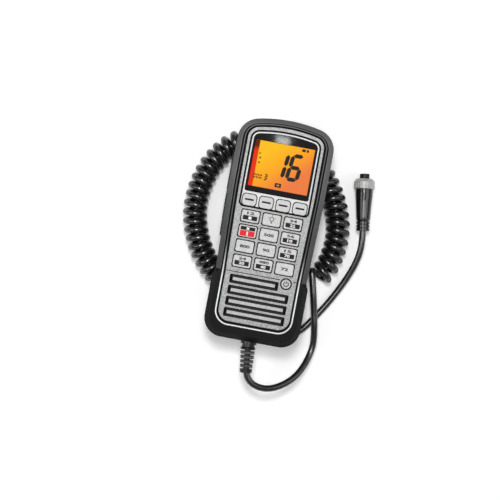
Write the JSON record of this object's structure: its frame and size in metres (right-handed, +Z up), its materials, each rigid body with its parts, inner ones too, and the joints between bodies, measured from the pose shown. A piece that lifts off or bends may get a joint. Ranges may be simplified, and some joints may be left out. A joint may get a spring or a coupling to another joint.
{
  "type": "marine radio handset",
  "caption": "Hand-held marine radio control unit with a screen, keypad and speaker grille, on a curly cord that ends in a round threaded plug.",
  "frame": {"origin": "under the middle of the handset's case, on the surface it rests on; the cord and its plug aren't counted", "axes": "+X to the handset's right seen from the front, +Y towards its screen end, +Z up out of its face"},
  "size_m": [0.1399, 0.1973, 0.0429],
  "materials": {
    "case_paint": "satin grey paint on the case",
    "bumper": "soft black rubber",
    "seal": "black sealing rubber",
    "face": "silver grey with a fine grain",
    "trim": "silver paint",
    "surround": "silver paint",
    "window": "dark clear window",
    "lcd": "lit amber display",
    "inner_plastic": "white moulded plastic",
    "membrane": "grey silicone",
    "keys": "light grey silicone with a fine grain",
    "soft_keys": "light grey silicone with a fine grain",
    "power_key": "grey silicone",
    "side_rubber": "black rubber",
    "switch": "black moulded plastic",
    "board": "green lacquered board",
    "chips": "black moulded plastic",
    "speaker_metal": "plain steel",
    "speaker_paper": "black film",
    "magnet": "dark sintered magnet",
    "mesh": "black water-shedding cloth",
    "grille": "dark moulded plastic",
    "screws": "stainless steel",
    "stud": "black moulded plastic",
    "cord": "satin black cord jacket",
    "plug_body": "black moulded rubber",
    "plug_ring": "knurled light metal",
    "plug_insert": "black moulded plastic",
    "pins": "plated contact pins"
  },
  "bodies": {
    "handset": {"front_shell": "case_paint", "rear_shell": "case_paint", "lower_bumper": "bumper", "case_seal": "seal", "face_plate": "face", "face_trim_ring": "trim", "screen_surround": "surround", "display_window": "window", "lcd_panel": "lcd", "lcd_backlight": "inner_plastic", "keypad_membrane": "membrane", "talk_switch": "switch", "side_switch": "switch", "main_board": "board", "board_chips": "chips", "speaker_basket": "speaker_metal", "speaker_cone": "speaker_paper", "speaker_magnet": "magnet", "speaker_mesh": "mesh", "speaker_grille": "grille", "microphone": "speaker_metal", "case_screws": "screws", "hanger_stud": "stud", "hanger_screw": "screws", "cord_boot": "cord", "cord_clamp": "inner_plastic", "cord_tail_handset": "cord", "cord_coil": "cord", "cord_tail_plug": "cord", "plug_body": "plug_body", "plug_insert": "plug_insert", "plug_pins": "pins"},
    "key_row1_left_body": {"key_row1_left": "keys"},
    "key_row1_middle_body": {"key_row1_middle": "keys"},
    "key_row1_right_body": {"key_row1_right": "keys"},
    "key_row2_left_body": {"key_row2_left": "keys"},
    "key_row2_middle_body": {"key_row2_middle": "keys"},
    "key_row2_right_body": {"key_row2_right": "keys"},
    "key_row3_left_body": {"key_row3_left": "keys"},
    "key_row3_middle_body": {"key_row3_middle": "keys"},
    "key_row3_right_body": {"key_row3_right": "keys"},
    "key_row4_left_body": {"key_row4_left": "keys"},
    "key_row4_middle_body": {"key_row4_middle": "keys"},
    "key_row4_right_body": {"key_row4_right": "keys"},
    "soft_key_1_body": {"soft_key_1": "soft_keys"},
    "soft_key_2_body": {"soft_key_2": "soft_keys"},
    "soft_key_3_body": {"soft_key_3": "soft_keys"},
    "soft_key_4_body": {"soft_key_4": "soft_keys"},
    "power_button_body": {"power_button": "power_key"},
    "talk_key_body": {"talk_key": "side_rubber"},
    "side_key_body": {"side_key": "side_rubber"},
    "plug_coupling_ring_body": {"plug_coupling_ring": "plug_ring"}
  },
  "joints": [
    {"name": "key_row1_left_press", "type": "slide", "parent": "handset", "child": "key_row1_left_body", "axis": [0, 0, -1], "range_m": [0, 0.001], "stiffness_N_per_m": 300},
    {"name": "key_row1_middle_press", "type": "slide", "parent": "handset", "child": "key_row1_middle_body", "axis": [0, 0, -1], "range_m": [0, 0.001], "stiffness_N_per_m": 300},
    {"name": "key_row1_right_press", "type": "slide", "parent": "handset", "child": "key_row1_right_body", "axis": [0, 0, -1], "range_m": [0, 0.001], "stiffness_N_per_m": 300},
    {"name": "key_row2_left_press", "type": "slide", "parent": "handset", "child": "key_row2_left_body", "axis": [0, 0, -1], "range_m": [0, 0.001], "stiffness_N_per_m": 300},
    {"name": "key_row2_middle_press", "type": "slide", "parent": "handset", "child": "key_row2_middle_body", "axis": [0, 0, -1], "range_m": [0, 0.001], "stiffness_N_per_m": 300},
    {"name": "key_row2_right_press", "type": "slide", "parent": "handset", "child": "key_row2_right_body", "axis": [0, 0, -1], "range_m": [0, 0.001], "stiffness_N_per_m": 300},
    {"name": "key_row3_left_press", "type": "slide", "parent": "handset", "child": "key_row3_left_body", "axis": [0, 0, -1], "range_m": [0, 0.001], "stiffness_N_per_m": 300},
    {"name": "key_row3_middle_press", "type": "slide", "parent": "handset", "child": "key_row3_middle_body", "axis": [0, 0, -1], "range_m": [0, 0.001], "stiffness_N_per_m": 300},
    {"name": "key_row3_right_press", "type": "slide", "parent": "handset", "child": "key_row3_right_body", "axis": [0, 0, -1], "range_m": [0, 0.001], "stiffness_N_per_m": 300},
    {"name": "key_row4_left_press", "type": "slide", "parent": "handset", "child": "key_row4_left_body", "axis": [0, 0, -1], "range_m": [0, 0.001], "stiffness_N_per_m": 300},
    {"name": "key_row4_middle_press", "type": "slide", "parent": "handset", "child": "key_row4_middle_body", "axis": [0, 0, -1], "range_m": [0, 0.001], "stiffness_N_per_m": 300},
    {"name": "key_row4_right_press", "type": "slide", "parent": "handset", "child": "key_row4_right_body", "axis": [0, 0, -1], "range_m": [0, 0.001], "stiffness_N_per_m": 300},
    {"name": "soft_key_1_press", "type": "slide", "parent": "handset", "child": "soft_key_1_body", "axis": [0, 0, -1], "range_m": [0, 0.001], "stiffness_N_per_m": 300},
    {"name": "soft_key_2_press", "type": "slide", "parent": "handset", "child": "soft_key_2_body", "axis": [0, 0, -1], "range_m": [0, 0.001], "stiffness_N_per_m": 300},
    {"name": "soft_key_3_press", "type": "slide", "parent": "handset", "child": "soft_key_3_body", "axis": [0, 0, -1], "range_m": [0, 0.001], "stiffness_N_per_m": 300},
    {"name": "soft_key_4_press", "type": "slide", "parent": "handset", "child": "soft_key_4_body", "axis": [0, 0, -1], "range_m": [0, 0.001], "stiffness_N_per_m": 300},
    {"name": "power_button_press", "type": "slide", "parent": "handset", "child": "power_button_body", "axis": [0, 0, -1], "range_m": [0, 0.001], "stiffness_N_per_m": 300},
    {"name": "talk_key_press", "type": "slide", "parent": "handset", "child": "talk_key_body", "axis": [0.9996, 0.0295, 0], "range_m": [0, 0.0012], "stiffness_N_per_m": 400},
    {"name": "side_key_press", "type": "slide", "parent": "handset", "child": "side_key_body", "axis": [1, 0, 0], "range_m": [0, 0.0012], "stiffness_N_per_m": 400},
    {"name": "coupling_ring_turn", "type": "hinge", "parent": "handset", "child": "plug_coupling_ring_body", "pos_m": [0.06333, 0.04802, 0.0079], "axis": [-0.1478, 0.989, 0], "continuous": true}
  ]
}
